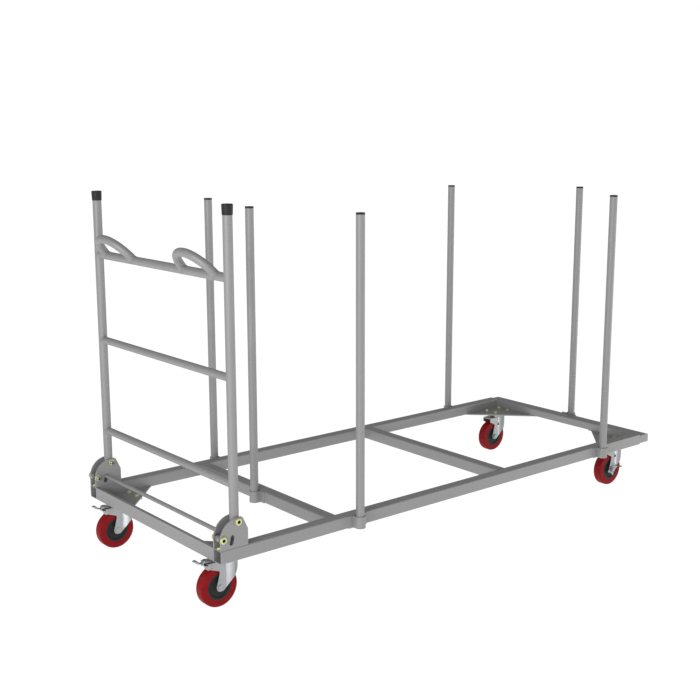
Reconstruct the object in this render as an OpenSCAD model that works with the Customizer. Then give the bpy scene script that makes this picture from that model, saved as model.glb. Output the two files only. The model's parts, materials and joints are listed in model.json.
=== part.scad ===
// Banquet table trolley: a tube base on four casters with lift-out posts and a folding push handle.
// X runs along the trolley from the handle to the far end, Y to its left side and Z up from the floor.

/* [Frame] */
// Length of each side rail
rail_len = 1922; // [1800:1:2050]
// Width over the outer faces of the side rails
frame_w = 788; // [740:1:860]
// Side of the square rail tube
rail_size = 40; // [38:0.5:44]
// Wall of the rail and cross tubes
rail_wall = 2.5; // [2:0.1:3.5]
// Outside corner radius of the square tubes
rail_round = 4; // [3.6:0.1:6]
// How far the frame stands out in front of the hinge line
front_over = 60; // [56:1:66]
// Thickness of the front channel
channel_t = 3; // [2:0.1:4]
// Depth of the front channel's flanges
channel_flange = 12; // [10:0.5:16]
// From the hinge line to the deck's front cross tube
deck_setback = 345; // [320:1:370]
// Depth of the end tube along the trolley
end_depth = 50; // [44:1:60]
// Height of the end tube
end_h = 30; // [26:1:34]
// Leg of the corner gussets that carry the casters
gusset_leg = 194; // [185:1:210]
// Thickness of the corner gussets
gusset_t = 5; // [4:0.5:5]

/* [Posts] */
// Outside diameter of the posts
post_d = 27; // [24:0.5:28]
// Wall of the post tube
post_wall = 2; // [1.5:0.1:3]
// Length of a post with its cap
post_len = 962; // [700:1:1100]
// Gap between a post and the face that its socket is welded to
post_gap = 1.5; // [1:0.1:2.5]
// From the hinge line to the front pair of side posts
front_post = 440; // [420:1:520]
// From the rails' rear end to the rear pair of side posts
rear_post_in = 247; // [200:1:300]
// Thickness of the socket straps
strap_t = 3; // [2:0.1:4]
// Half of the width over a strap's wings
wing_half = 36; // [30:1:42]
// Height of a socket strap
socket_h = 38; // [30:0.5:38]
// Thickness of a post cap's flange
post_cap_t = 3; // [2:0.1:5]

/* [Handle] */
// Outside diameter of the handle uprights
upright_d = 28; // [25:0.5:28.5]
// Wall of the upright and crossbar tubes
handle_wall = 2; // [1.5:0.1:2.5]
// Top of the handle above the floor
handle_top = 1171; // [1100:1:1250]
// Height of the black end caps
cap_h = 30; // [20:1:40]
// Wall of the black end caps
cap_wall = 2; // [1:0.1:3]
// Diameter of the middle and lower crossbars
bar_d = 23.5; // [20:0.5:25]
// Diameter of the top crossbar, which carries the grips
top_bar_d = 26.5; // [26:0.5:28]
// From the top of the handle down to the top crossbar's axis
top_bar_drop = 202; // [170:1:230]
// Axis of the middle crossbar above the floor
middle_bar_z = 689; // [600:1:730]
// Axis of the lower crossbar above the floor
lower_bar_z = 383; // [340:1:420]
// Diameter of the grip tube
grip_d = 26; // [18:0.5:26]
// Radius of a grip's half loop
grip_r = 84; // [60:1:90]
// From an upright's axis in to the middle of its grip
grip_in = 143; // [120:1:160]
// Lean of a grip above the horizontal, in degrees
grip_lean = 48; // [30:1:70]

/* [Hinge brackets] */
// Thickness of the bracket plates
plate_t = 5; // [4:0.1:5.2]
// Height of the bracket plates above the rail
plate_h = 89; // [87:1:92]
// Reach of the bracket plates behind the hinge line
plate_rear = 34; // [30:1:40]
// Hinge line above the rail
hinge_h = 76; // [74:0.5:78]
// Diameter of the hinge and latch bolts
bolt_d = 12; // [10:0.5:12]
// Diameter of the round bolt heads
bolt_head_d = 21; // [18:0.5:22]
// Height of the round bolt heads
bolt_head_h = 6; // [5:0.5:8]
// Latch bolt in front of the hinge line
latch_back = 52; // [50:0.5:52]
// Latch bolt above the rail
latch_h = 32; // [31:0.5:33]

/* [Release bar] */
// Diameter of the foot-operated release bar
release_d = 13; // [11:0.5:13]
// Distance of the release bar from the latch bolts
release_arm = 32.5; // [31:0.5:33]
// Travel of the release bar, in degrees
release_travel = 25; // [20:1:25]
// Wire of the return springs
spring_wire = 1.2; // [1:0.1:1.3]

/* [Casters] */
// Diameter of the wheels
wheel_d = 125; // [120:1:130]
// Width of the tyres
tyre_w = 32; // [28:1:34]
// Diameter of the wheel cores
core_d = 80; // [76:1:84]
// From the swivel axis back to the axle
trail = 36; // [34:1:38]
// From a rail's outer face in to the caster's swivel axis
caster_in = 86; // [86:1:94]
// Front axle in front of the hinge line
front_axle = 22; // [20:1:24]
// From the rails' rear end to the rear axle
rear_axle_in = 85; // [84:1:94]
// Wall of the pressed fork
fork_wall = 3; // [2.5:0.1:3]
// Diameter of the axles
axle_d = 10; // [8:0.5:10]
// Diameter of the caster bolts
caster_bolt_d = 8; // [6:0.5:8]

/* [Hidden] */
$fn = 64;

// Colours of the finishes
paint = [0.62, 0.62, 0.63];
yellow_zinc = [0.80, 0.78, 0.52];
bright_zinc = [0.78, 0.79, 0.80];
red_tyre = [0.55, 0.13, 0.14];
charcoal = [0.15, 0.16, 0.16];
black = [0.12, 0.12, 0.13];
spring_steel = [0.35, 0.36, 0.38];

// Clearances: running fits, thin gaps between moving bodies, how far a cutter runs past a face,
// and how far a straight side starts inside the round that it leaves
run = 0.05;
gap = 0.4;
past = 1;
tuck = 0.02;

// Heights, each built on the one below it
wheel_r = wheel_d / 2;
crown_over = 14;
crown_t = 4;
crown_z = wheel_d + crown_over;
bearing_h = 13;
plate_z = crown_z + crown_t + bearing_h;
caster_plate_t = 4;
rail_z = plate_z + caster_plate_t;
rail_top = rail_z + rail_size;
hinge_z = rail_top + hinge_h;
latch_z = rail_top + latch_h;
end_z = rail_z + (rail_size - end_h) / 2;
top_bar_z = handle_top - top_bar_drop;

// Places across the trolley
rail_out = frame_w / 2;
rail_in = rail_out - rail_size;
rail_mid = rail_out - rail_size / 2;
socket_clear = 0.5;
socket_r = post_d / 2 + socket_clear;
post_off = post_gap + post_d / 2;
post_y = rail_out + post_off;
grip_y = rail_mid - grip_in;
caster_y = rail_out - caster_in;

// Places along the trolley, with the whole length centred on the origin
pedal_reach = 80;
front_reach = front_axle + pedal_reach;
rear_reach = rail_len - front_over + end_depth + post_off + socket_r + strap_t;
hinge_x = (front_reach - rear_reach) / 2;
rail_x0 = hinge_x - front_over;
rail_x1 = rail_x0 + rail_len;
end_x1 = rail_x1 + end_depth;
deck_x = hinge_x + deck_setback;
middle_x = (deck_x + rail_x1) / 2;
front_post_x = hinge_x + front_post;
rear_post_x = rail_x1 - rear_post_in;
handle_post_x = deck_x - post_off;
far_post_x = end_x1 + post_off;
front_axle_x = hinge_x - front_axle;
rear_axle_x = rail_x1 - rear_axle_in;
latch_x = hinge_x - latch_back;

// Posts stand on the sockets' floors
socket_floor = 3;
post_z = rail_z + socket_floor + gap;
post_cap_plug = 15;

// Caster fork, measured from the axle, and its bolt pattern round the swivel axis
tyre_side_gap = 3;
fork_half = tyre_w / 2 + tyre_side_gap + fork_wall;
front_lip = 39;
rear_lip = 28;
fork_back = 13;
fork_rear = trail + fork_back;
fork_end_r = 13;
fork_toe = [5, -0.5];
fork_toe_r = 12.5;
fork_heel = [52, 24.5];
web_in = 7;
fork_hollow = 8;
hollow_steps = 8;
lip_drop = 13;
root_drop = 27;
web_drop = 31;
fork_lip = crown_z - lip_drop;
fork_root = crown_z - root_drop;
fork_web = crown_z - web_drop;
pedal_u = 28;
pedal_drop = 7.5;
pedal_z = crown_z - pedal_drop;
pedal_pin_d = 8;
plate_len = 100;
plate_wide = 80;
bolt_u = 37.5;
bolt_v = 25;
king_d = 12;
king_head = 22;
drum_d = 56;
hub_d = 28;
lever_t = 3;

// The wheel side of a piece: +1 is the trolley's left
left = 1;
right = -1;

module sided(side) {
    if (side > 0) children();
    else mirror([0, 1, 0]) children();
}

module both_sides() {
    for (side = [left, right]) sided(side) children();
}

// A slab of a drawing in X and Z, from y0 to y0 + t
module slab(y0, t) {
    translate([0, y0 + t, 0]) rotate([90, 0, 0]) linear_extrude(t) children();
}

// A bar of a drawing in Y and Z, from x0 over a length
module along_x(x0, length) {
    translate([x0, 0, 0]) rotate([90, 0, 90]) linear_extrude(length) children();
}

module rod_y(d, y0, y1) {
    translate([0, y0, 0]) rotate([-90, 0, 0]) cylinder(d = d, h = y1 - y0);
}

module hex_y(flats, y0, y1) {
    translate([0, y0, 0]) rotate([-90, 0, 0]) cylinder(d = flats / cos(30), h = y1 - y0, $fn = 6);
}

module tube_z(d, wall, z0, z1) {
    translate([0, 0, z0]) difference() {
        cylinder(d = d, h = z1 - z0);
        translate([0, 0, -past]) cylinder(d = d - 2 * wall, h = z1 - z0 + 2 * past);
    }
}

module round_rect(w, h, r) {
    translate([r, 0]) square([w - 2 * r, h]);
    translate([0, r]) square([w, h - 2 * r]);
    for (x = [r, w - r], y = [r, h - r]) translate([x, y]) circle(r);
}

module tube_section(w, h, wall) {
    difference() {
        round_rect(w, h, rail_round);
        translate([wall, wall]) round_rect(w - 2 * wall, h - 2 * wall, rail_round - wall);
    }
}

// Two circles joined by their outer tangents
module link(p, rp, q, rq) {
    d = q - p;
    a = atan2(d[1], d[0]);
    b = acos((rp - rq) / norm(d));
    up = [cos(a + b), sin(a + b)];
    down = [cos(a - b), sin(a - b)];
    sp = rp - tuck;
    sq = rq - tuck;
    polygon([p + sp * up, p + sp * down, q + sq * down, q + sq * up]);
    translate(p) circle(rp);
    translate(q) circle(rq);
}

// A slot of a given width along an arc about the origin
module arc_slot(r, width, a0, a1) {
    far = 2 * r;
    steps = [a0, (a0 + a1) / 2, a1];
    intersection() {
        difference() {
            circle(r + width / 2 - tuck);
            circle(r - width / 2 + tuck);
        }
        polygon(concat([[0, 0]], [for (a = steps) far * [cos(a), sin(a)]]));
    }
    for (a = [a0, a1]) translate(r * [cos(a), sin(a)]) circle(width / 2);
}

// Base frame
module rail() {
    difference() {
        along_x(rail_x0, rail_len) translate([rail_in, rail_z]) tube_section(rail_size, rail_size, rail_wall);
        translate([latch_x, rail_mid, rail_top - rail_size / 2]) cylinder(d = caster_bolt_d, h = rail_size);
    }
}

module left_rail() {
    color(paint) rail();
}

module right_rail() {
    color(paint) sided(right) rail();
}

module front_channel() {
    color(paint) slab(-rail_in, 2 * rail_in) translate([rail_x0, rail_z]) difference() {
        square([channel_flange, rail_size]);
        translate([channel_t, channel_t]) square([channel_flange, rail_size - 2 * channel_t]);
    }
}

module cross_tube(x) {
    slab(-rail_in, 2 * rail_in) translate([x, rail_z]) tube_section(rail_size, rail_size, rail_wall);
}

module deck_front_tube() {
    color(paint) cross_tube(deck_x);
}

module deck_middle_tube() {
    color(paint) cross_tube(middle_x);
}

// The end tube is closed by a plate welded into each end
module end_tube() {
    inner = rail_round - rail_wall;
    color(paint) difference() {
        slab(-rail_out, frame_w) translate([rail_x1, end_z]) round_rect(end_depth, end_h, rail_round);
        slab(rail_wall - rail_out, frame_w - 2 * rail_wall) translate([rail_x1 + rail_wall, end_z + rail_wall])
            round_rect(end_depth - 2 * rail_wall, end_h - 2 * rail_wall, inner);
    }
}

// Right-angled corner plate with its square corner at x, its legs running away from that corner
gusset_under = 18;

module gusset(x, way, leg, axle_x) {
    difference() {
        translate([0, 0, rail_z]) linear_extrude(gusset_t)
            polygon([[x, rail_in], [x + way * leg, rail_in], [x, rail_in - leg]]);
        for (p = bolt_places(axle_x)) translate([p[0], p[1], rail_z - past])
            cylinder(d = caster_bolt_d, h = gusset_t + 2 * past);
    }
}

function bolt_places(axle_x) =
    [for (u = [-bolt_u, bolt_u], v = [-bolt_v, bolt_v]) [axle_x + trail + u, caster_y + v]];

module caster_gussets() {
    color(paint) both_sides() {
        gusset(rail_x0 + channel_flange, 1, gusset_leg, front_axle_x);
        gusset(rail_x1 + gusset_under, -1, gusset_leg + gusset_under, rear_axle_x);
    }
}

// Omega strap round a post, welded to a face that looks along +Y at y = 0, with a floor under the post
module socket() {
    out_r = socket_r + strap_t;
    translate([0, 0, rail_z]) difference() {
        linear_extrude(socket_h) {
            translate([-wing_half, 0]) square([2 * wing_half, strap_t]);
            intersection() {
                union() {
                    translate([-out_r, 0]) square([2 * out_r, post_off]);
                    translate([0, post_off]) circle(out_r);
                }
                translate([-wing_half, 0]) square(2 * wing_half);
            }
        }
        translate([0, 0, socket_floor]) linear_extrude(socket_h) {
            translate([-socket_r, -past]) square([2 * socket_r, post_off + past]);
            translate([0, post_off]) circle(socket_r);
        }
    }
}

module post_sockets() {
    color(paint) {
        both_sides() for (x = [front_post_x, rear_post_x]) translate([x, rail_out, 0]) socket();
        translate([deck_x, 0, 0]) rotate(90) socket();
        translate([end_x1, 0, 0]) rotate(-90) socket();
    }
}

// Hinge brackets
plate_nose_x = 9;
plate_nose_r = 10;
plate_shoulder = 50;
slot_play = 1;
slot_spare = 2;
stop_flats = 13;
stop_head = 6;
stop_shank = 5;

// Where a line from p touches a circle: way is +1 or -1 for its two sides
function tangent_point(p, c, r, way) =
    let (d = c - p, a = atan2(d[1], d[0]) + way * asin(r / norm(d)), t = sqrt(norm(d) ^ 2 - r ^ 2))
    p + t * [cos(a), sin(a)];

module plate_outline() {
    shoulder = [plate_rear, plate_shoulder];
    nose = [plate_nose_x, plate_h - plate_nose_r];
    round_z = plate_h - front_over;
    polygon([
        [-front_over, 0], [plate_rear, 0], shoulder, tangent_point(shoulder, nose, plate_nose_r, -1), nose,
        [plate_nose_x, plate_h], [0, plate_h], [0, round_z], [-front_over, round_z]
    ]);
    translate(nose) circle(plate_nose_r + tuck);
    intersection() {
        translate([0, round_z]) circle(front_over);
        translate([-2 * front_over, round_z]) square(2 * front_over);
    }
}

module bracket_plate(y0) {
    slab(y0, plate_t) translate([hinge_x, rail_top]) difference() {
        plate_outline();
        translate([0, hinge_h]) circle(d = bolt_d);
        translate([-latch_back, latch_h]) {
            circle(d = bolt_d);
            arc_slot(release_arm, release_d + slot_play, -release_travel - slot_spare, slot_spare);
        }
    }
}

module bracket() {
    bracket_plate(rail_in);
    bracket_plate(rail_out - plate_t);
}

module left_bracket() {
    color(paint) bracket();
}

module right_bracket() {
    color(paint) sided(right) bracket();
}

// Round-headed bolt with a hexagon socket, put in from outside; its tail stands past a thin round nut
socket_flats = 10;
socket_deep = 5;
nut_d = 19;
nut_h = 4;
bolt_tail = 7;

module hinge_bolt() {
    half = rail_size / 2;
    head = half + bolt_head_h;
    seat = half + nut_h;
    difference() {
        union() {
            rod_y(bolt_d, -seat - bolt_tail, half + past);
            rod_y(bolt_head_d, half, head);
        }
        hex_y(socket_flats, head - socket_deep, head + past);
    }
    difference() {
        rod_y(nut_d, -seat, -half);
        rod_y(bolt_d, -seat - past, past - half);
    }
}

module hinge_bolts() {
    color(yellow_zinc) both_sides() {
        translate([hinge_x, rail_mid, hinge_z]) hinge_bolt();
        translate([latch_x, rail_mid, latch_z]) hinge_bolt();
    }
}

module stop_bolt() {
    cylinder(d = stop_flats / cos(30), h = stop_head, $fn = 6);
    translate([0, 0, -stop_shank]) cylinder(d = caster_bolt_d, h = stop_shank + past);
}

module stop_bolts() {
    color(yellow_zinc) both_sides() translate([latch_x, rail_mid, rail_top]) stop_bolt();
}

// Caster plates with their swivel drum and king pin, and the bolts that hold them
king_head_h = 8;

module caster_plate(axle_x) {
    translate([axle_x + trail, caster_y, 0]) difference() {
        union() {
            translate([-plate_len / 2, -plate_wide / 2, plate_z]) cube([plate_len, plate_wide, caster_plate_t]);
            translate([0, 0, crown_z + crown_t + gap]) cylinder(d = drum_d, h = bearing_h - gap + past);
            translate([0, 0, crown_z - gap - past]) cylinder(d = king_d, h = crown_t + bearing_h);
            translate([0, 0, crown_z - gap - king_head_h]) cylinder(d = king_head, h = king_head_h);
        }
        for (u = [-bolt_u, bolt_u], v = [-bolt_v, bolt_v]) translate([u, v, plate_z - past])
            cylinder(d = caster_bolt_d, h = caster_plate_t + 2 * past);
    }
}

module caster_plates() {
    color(bright_zinc) both_sides() for (x = [front_axle_x, rear_axle_x]) caster_plate(x);
}

caster_flats = 13;
caster_head = 5.5;
caster_nut = 6.5;

module caster_bolt() {
    shank_z = plate_z - caster_nut - past;
    translate([0, 0, rail_z + gusset_t]) cylinder(d = caster_flats / cos(30), h = caster_head, $fn = 6);
    translate([0, 0, shank_z]) cylinder(d = caster_bolt_d, h = rail_z + gusset_t + past - shank_z);
    translate([0, 0, plate_z - caster_nut]) cylinder(d = caster_flats / cos(30), h = caster_nut, $fn = 6);
}

module caster_bolts() {
    color(yellow_zinc) both_sides() for (x = [front_axle_x, rear_axle_x], p = bolt_places(x))
        translate([p[0], p[1], 0]) caster_bolt();
}

// Folding handle
upright_foot = 24;
bush_wall = 2;
bush_d = bolt_d + 2 * run + 2 * bush_wall;
plate_gap = rail_size - 2 * plate_t;

module upright() {
    difference() {
        translate([hinge_x, rail_mid, 0])
            tube_z(upright_d, handle_wall, hinge_z - upright_foot, handle_top - cap_wall);
        translate([hinge_x, 0, hinge_z]) rod_y(bush_d, rail_in, rail_out);
    }
}

module left_upright() {
    color(paint) upright();
}

module right_upright() {
    color(paint) sided(right) upright();
}

// A crossbar tube with its ends coped to the uprights
module crossbar(z, d) {
    difference() {
        translate([hinge_x, 0, z]) rod_y(d, -rail_mid, rail_mid);
        translate([hinge_x, 0, z]) rod_y(d - 2 * handle_wall, -rail_out, rail_out);
        both_sides() translate([hinge_x, rail_mid, z - d]) cylinder(d = upright_d, h = 2 * d);
    }
}

module top_bar() {
    color(paint) crossbar(top_bar_z, top_bar_d);
}

module middle_bar() {
    color(paint) crossbar(middle_bar_z, bar_d);
}

module lower_bar() {
    color(paint) crossbar(lower_bar_z, bar_d);
}

// A half loop that leans from the top bar towards the user, coped to the bar
module grip() {
    translate([hinge_x, grip_y, top_bar_z]) difference() {
        rotate([0, grip_lean, 0]) rotate(90) rotate_extrude(angle = 180)
            translate([grip_r, 0]) circle(d = grip_d);
        rod_y(top_bar_d, -rail_out, rail_out);
    }
}

module left_grip() {
    color(paint) grip();
}

module right_grip() {
    color(paint) sided(right) grip();
}

module handle_caps() {
    color(black) both_sides() translate([hinge_x, rail_mid, handle_top - cap_h]) difference() {
        cylinder(d = upright_d + 2 * cap_wall, h = cap_h);
        translate([0, 0, -past]) cylinder(d = upright_d, h = cap_h - cap_wall + past);
    }
}

module pivot_bushes() {
    color(bright_zinc) both_sides() translate([hinge_x, rail_mid, hinge_z]) difference() {
        rod_y(bush_d, gap - plate_gap / 2, plate_gap / 2 - gap);
        rod_y(bolt_d + 2 * run, -rail_size, rail_size);
    }
}

// Release bar and the two latch pawls
hub_pawl_d = 20;
hub_pawl_w = 25;
pawl_w = 12;
pawl_eye_r = 9.5;
pawl_tip = [47, 11];
pawl_tip_r = 3;
pawl_pin_hole = 8;
spring_turns = 2.75;
spring_play = 0.4;
spring_gap = 0.5;
spring_pitch = spring_wire + spring_gap;
spring_rings = 24;
spring_sides = 6;

module release_bar() {
    color(paint) translate([latch_x + release_arm, 0, latch_z])
        rod_y(release_d, -rail_mid - pawl_w / 2, rail_mid + pawl_w / 2);
}

module pawl() {
    eye = [release_arm, 0];
    translate([latch_x, 0, latch_z]) difference() {
        union() {
            slab(rail_mid - pawl_w / 2, pawl_w) {
                link([0, 0], hub_pawl_d / 2, eye, pawl_eye_r);
                link(eye, pawl_eye_r, pawl_tip, pawl_tip_r);
            }
            rod_y(hub_pawl_d, rail_mid - hub_pawl_w / 2, rail_mid + hub_pawl_w / 2);
        }
        rod_y(bolt_d + 2 * run, rail_in, rail_out);
        translate([release_arm, 0, 0]) rod_y(release_d, rail_in, rail_out);
        translate([-hub_pawl_d, rail_mid, 0]) rotate([0, 90, 0]) cylinder(d = pawl_pin_hole, h = hub_pawl_d);
    }
}

module left_pawl() {
    color(bright_zinc) pawl();
}

module right_pawl() {
    color(bright_zinc) sided(right) pawl();
}

// Helical return spring wound round the pawl hub on its inner side
spring_r = hub_pawl_d / 2 + spring_play + spring_wire / 2;
spring_count = spring_turns * spring_rings;

function spring_point(i, k) =
    let (a = 360 * i / spring_rings, b = 360 * k / spring_sides)
    let (r = spring_r + spring_wire / 2 * cos(b))
    [r * cos(a), spring_pitch * i / spring_rings + spring_wire / 2 * sin(b), r * sin(a)];

module return_spring() {
    points = [for (i = [0:spring_count], k = [0:spring_sides - 1]) spring_point(i, k)];
    sides = [for (i = [0:spring_count - 1], k = [0:spring_sides - 1], half = [0, 1])
        let (m = (k + 1) % spring_sides, p = i * spring_sides, q = p + spring_sides)
        half == 0 ? [p + k, q + k, p + m] : [p + m, q + k, q + m]];
    first = [for (k = [1:spring_sides - 2]) [0, k, k + 1]];
    last_p = spring_count * spring_sides;
    last = [for (k = [1:spring_sides - 2]) [last_p, last_p + k + 1, last_p + k]];
    polyhedron(points, concat(sides, first, last));
}

module return_springs() {
    echo(spring_least_gap = spring_pitch - spring_wire);
    spring_y = rail_mid - hub_pawl_w / 2 + spring_wire / 2;
    color(spring_steel) both_sides() translate([latch_x, spring_y, latch_z]) return_spring();
}

// Posts: tubes that stand in the sockets, each with a cap pressed into its top
module post(x, y) {
    translate([x, y, 0]) tube_z(post_d, post_wall, post_z, post_z + post_len - post_cap_t);
}

module post_cap(x, y) {
    top = post_z + post_len - post_cap_t;
    translate([x, y, top]) {
        cylinder(d = post_d, h = post_cap_t);
        translate([0, 0, -post_cap_plug]) cylinder(d = post_d - 2 * post_wall, h = post_cap_plug);
    }
}

module front_left_post() {
    color(paint) post(front_post_x, post_y);
}

module front_left_post_cap() {
    color(black) post_cap(front_post_x, post_y);
}

module front_right_post() {
    color(paint) post(front_post_x, -post_y);
}

module front_right_post_cap() {
    color(black) post_cap(front_post_x, -post_y);
}

module rear_left_post() {
    color(paint) post(rear_post_x, post_y);
}

module rear_left_post_cap() {
    color(black) post_cap(rear_post_x, post_y);
}

module rear_right_post() {
    color(paint) post(rear_post_x, -post_y);
}

module rear_right_post_cap() {
    color(black) post_cap(rear_post_x, -post_y);
}

module handle_end_post() {
    color(paint) post(handle_post_x, 0);
}

module handle_end_post_cap() {
    color(black) post_cap(handle_post_x, 0);
}

module far_end_post() {
    color(paint) post(far_post_x, 0);
}

module far_end_post_cap() {
    color(black) post_cap(far_post_x, 0);
}

// Casters, drawn with the axle over the origin and the trolley's outside towards +Y
module at_caster(x, side) {
    sided(side) translate([x, caster_y, 0]) children();
}

module fork_plan(half, front) {
    translate([-front, -half]) square([front + fork_rear, 2 * half]);
    translate([fork_rear, 0]) circle(half);
}

function unit(v) = v / norm(v);

// Points of a hollow round of radius r in the corner c, from the side towards a to the side towards b
function hollow(c, a, b, r) =
    let (
        ua = unit(a - c),
        ub = unit(b - c),
        half = acos(ua * ub) / 2,
        o = c + r / sin(half) * unit(ua + ub),
        p = c + r / tan(half) * ua - o,
        q = c + r / tan(half) * ub - o,
        start = atan2(p[1], p[0]),
        step = (atan2(q[1], q[0]) - start) / hollow_steps
    )
    [for (i = [0 : hollow_steps]) o + r * [cos(start + step * i), sin(start + step * i)]];

// Side view of the pressed fork: crown, front lip and a leg that tapers to the axle
module fork_side(lip_out) {
    reach = fork_rear + fork_half;
    top = crown_z + crown_t;
    axle = [0, wheel_r];
    toe = axle + fork_toe;
    heel = axle + fork_heel;
    lip = [-lip_out, fork_lip];
    leg = [-fork_end_r, wheel_r];
    polygon(concat(
        [[-lip_out, top], lip],
        hollow([0, fork_root], lip, leg, fork_hollow),
        [leg, axle, toe, tangent_point(heel, toe, fork_toe_r - tuck, 1)],
        [heel, [reach - web_in, fork_web], [reach, fork_root], [reach, top]]
    ));
    link(axle, fork_end_r, toe, fork_toe_r);
}

fork_top = crown_z + crown_t;
leg_hole_d = 9;
leg_hole = [20, crown_z - root_drop];

module fork_body(lip_out) {
    intersection() {
        translate([0, 0, wheel_r - fork_end_r - past]) linear_extrude(fork_top) difference() {
            fork_plan(fork_half, lip_out);
            fork_plan(fork_half - fork_wall, lip_out + past);
        }
        slab(-fork_half, 2 * fork_half) fork_side(lip_out);
    }
    translate([0, 0, crown_z]) linear_extrude(crown_t) fork_plan(fork_half, lip_out);
}

module front_fork() {
    difference() {
        fork_body(front_lip);
        fork_holes();
        translate([-pedal_u, 0, pedal_z]) rod_y(pedal_pin_d + 2 * run, -rail_size, rail_size);
    }
}

module rear_fork() {
    difference() {
        fork_body(rear_lip);
        fork_holes();
        translate([leg_hole[0], 0, leg_hole[1]]) rod_y(leg_hole_d, -rail_size, rail_size);
    }
}

module fork_holes() {
    translate([0, 0, wheel_r]) rod_y(axle_d, -rail_size, rail_size);
    translate([trail, 0, crown_z - past]) cylinder(d = king_d + 2 * run, h = crown_t + 2 * past);
}

// Tyre with rounded shoulders round a moulded core
tyre_round = 5;

module tyre() {
    r0 = core_d / 2;
    translate([0, 0, wheel_r]) rotate([90, 0, 0]) rotate_extrude() {
        translate([r0, -tyre_w / 2]) square([wheel_r - tyre_round - r0, tyre_w]);
        translate([r0, tyre_round - tyre_w / 2]) square([wheel_r - r0, tyre_w - 2 * tyre_round]);
        for (y = [-1, 1]) translate([wheel_r - tyre_round, y * (tyre_w / 2 - tyre_round)]) circle(tyre_round);
    }
}

core_rim = 6;
core_web = 12;
core_step = 3;

module core() {
    r = core_d / 2;
    half = tyre_w / 2;
    hub_half = fork_half - fork_wall - gap;
    bore = axle_d / 2 + run;
    side = [[hub_d / 2, core_web], [r - core_rim - core_step, core_web], [r - core_rim, half], [r, half]];
    up = concat([[bore, hub_half], [hub_d / 2, hub_half]], side);
    down = [for (i = [len(up) - 1:-1:0]) [up[i][0], -up[i][1]]];
    translate([0, 0, wheel_r]) rotate([90, 0, 0]) rotate_extrude() polygon(concat(up, down));
}

rivet_d = 17;
rivet_h = 2.5;
axle_flats = 16;
axle_nut = 7;

module front_axle_pin() {
    translate([0, 0, wheel_r]) {
        rod_y(axle_d, -fork_half - past, fork_half + past);
        rod_y(rivet_d, fork_half, fork_half + rivet_h);
        rod_y(rivet_d, -fork_half - rivet_h, -fork_half);
    }
}

module rear_axle_bolt() {
    nut_y = fork_half + lever_t + 2 * gap;
    translate([0, 0, wheel_r]) {
        rod_y(axle_d, -fork_half - past, nut_y + past);
        hex_y(axle_flats, nut_y, nut_y + axle_nut);
        hex_y(axle_flats, -fork_half - axle_nut, -fork_half);
    }
}

// Top brake: a foot pedal on a pin through the fork. Its hood wraps the fork's front edge and carries
// the foot plate, and a shoe under the pin presses on the tyre. Points are from the axle and the crown.
pedal_hub_r = 7;
pedal_arm_r = 3;
pedal_play = 0.6;
hood_r = 1.5;
hood_line = [[-43.5, -5.5], [-47.5, -1], [-47, 3.5], [-43, 8.2], [-36, 8.1], [-20, 6]];
neck = [-54, 4.5];
foot = [-67, 11.3];
foot_r = 4;
foot_tip_r = 1.3;
foot_tip_up = 16;
hood_half = 15;
hood_back = [-30, 0];
hood_front = [-41, 0];
hood_nose_r = 8.5;
neck_half = 4.5;
foot_half = 10.5;
foot_end_r = 5;
shoe_half = 12;
shoe_line = [[-6, -12.9], [5.5, -9.2], [5.5, -3.5], [-6, -3.5]];

module pedal_side() {
    line = [for (p = hood_line) [p[0], crown_z + p[1]]];
    bend = line[2];
    throat = [neck[0], crown_z + neck[1]];
    sole = [foot[0], crown_z + foot[1]];
    link([-pedal_u, pedal_z], pedal_arm_r, line[0], hood_r);
    for (i = [1:len(line) - 1]) link(line[i - 1], hood_r, line[i], hood_r);
    link(bend, hood_r, throat, hood_r);
    link(throat, hood_r, sole, foot_r);
    link(sole, foot_r, [foot_tip_r - pedal_reach, crown_z + foot_tip_up], foot_tip_r);
}

module pedal_plan() {
    throat = [neck[0], 0];
    sole = [foot[0], 0];
    link(hood_back, hood_half, hood_front, hood_nose_r);
    link(hood_front, neck_half, throat, neck_half);
    link(throat, neck_half, sole, foot_half);
    link(sole, foot_half, [foot_end_r - pedal_reach, 0], foot_end_r);
}

module top_pedal() {
    hub_half = fork_half - fork_wall - pedal_play;
    translate([-pedal_u, 0, pedal_z]) {
        rod_y(2 * pedal_hub_r, -hub_half, hub_half);
        rod_y(pedal_pin_d, -fork_half, fork_half);
        slab(-shoe_half, 2 * shoe_half) polygon(shoe_line);
    }
    intersection() {
        slab(-hood_half - past, 2 * (hood_half + past)) pedal_side();
        translate([0, 0, wheel_r]) linear_extrude(wheel_d) pedal_plan();
    }
}

// Side brake: a three-armed lever on the axle, with a foot tab at the end of its long arm
lever_hub_r = 13;
lever_arm = [27, 8];
lever_arm_r = 6;
lever_toe = [6, -20];
lever_toe_r = 4;
lever_back = [-17, -5];
lever_back_r = 5;
tab_len = 14;
tab_wide = 22;
tab_t = 2.5;

module side_lever() {
    y0 = fork_half + gap;
    translate([0, 0, wheel_r]) {
        difference() {
            slab(y0, lever_t) {
                link([0, 0], lever_hub_r, lever_arm, lever_arm_r);
                link([0, 0], lever_hub_r, lever_toe, lever_toe_r);
                link([0, 0], lever_hub_r, lever_back, lever_back_r);
            }
            rod_y(axle_d + 2 * run, -rail_size, rail_size);
        }
        translate([lever_arm[0] - past, y0, lever_arm[1]]) cube([tab_len, tab_wide, tab_t]);
    }
}

module front_left_fork() {
    color(bright_zinc) at_caster(front_axle_x, left) front_fork();
}

module front_left_tyre() {
    color(red_tyre) at_caster(front_axle_x, left) tyre();
}

module front_left_core() {
    color(charcoal) at_caster(front_axle_x, left) core();
}

module front_left_axle() {
    color(bright_zinc) at_caster(front_axle_x, left) front_axle_pin();
}

module front_left_brake() {
    color(bright_zinc) at_caster(front_axle_x, left) top_pedal();
}

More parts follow.
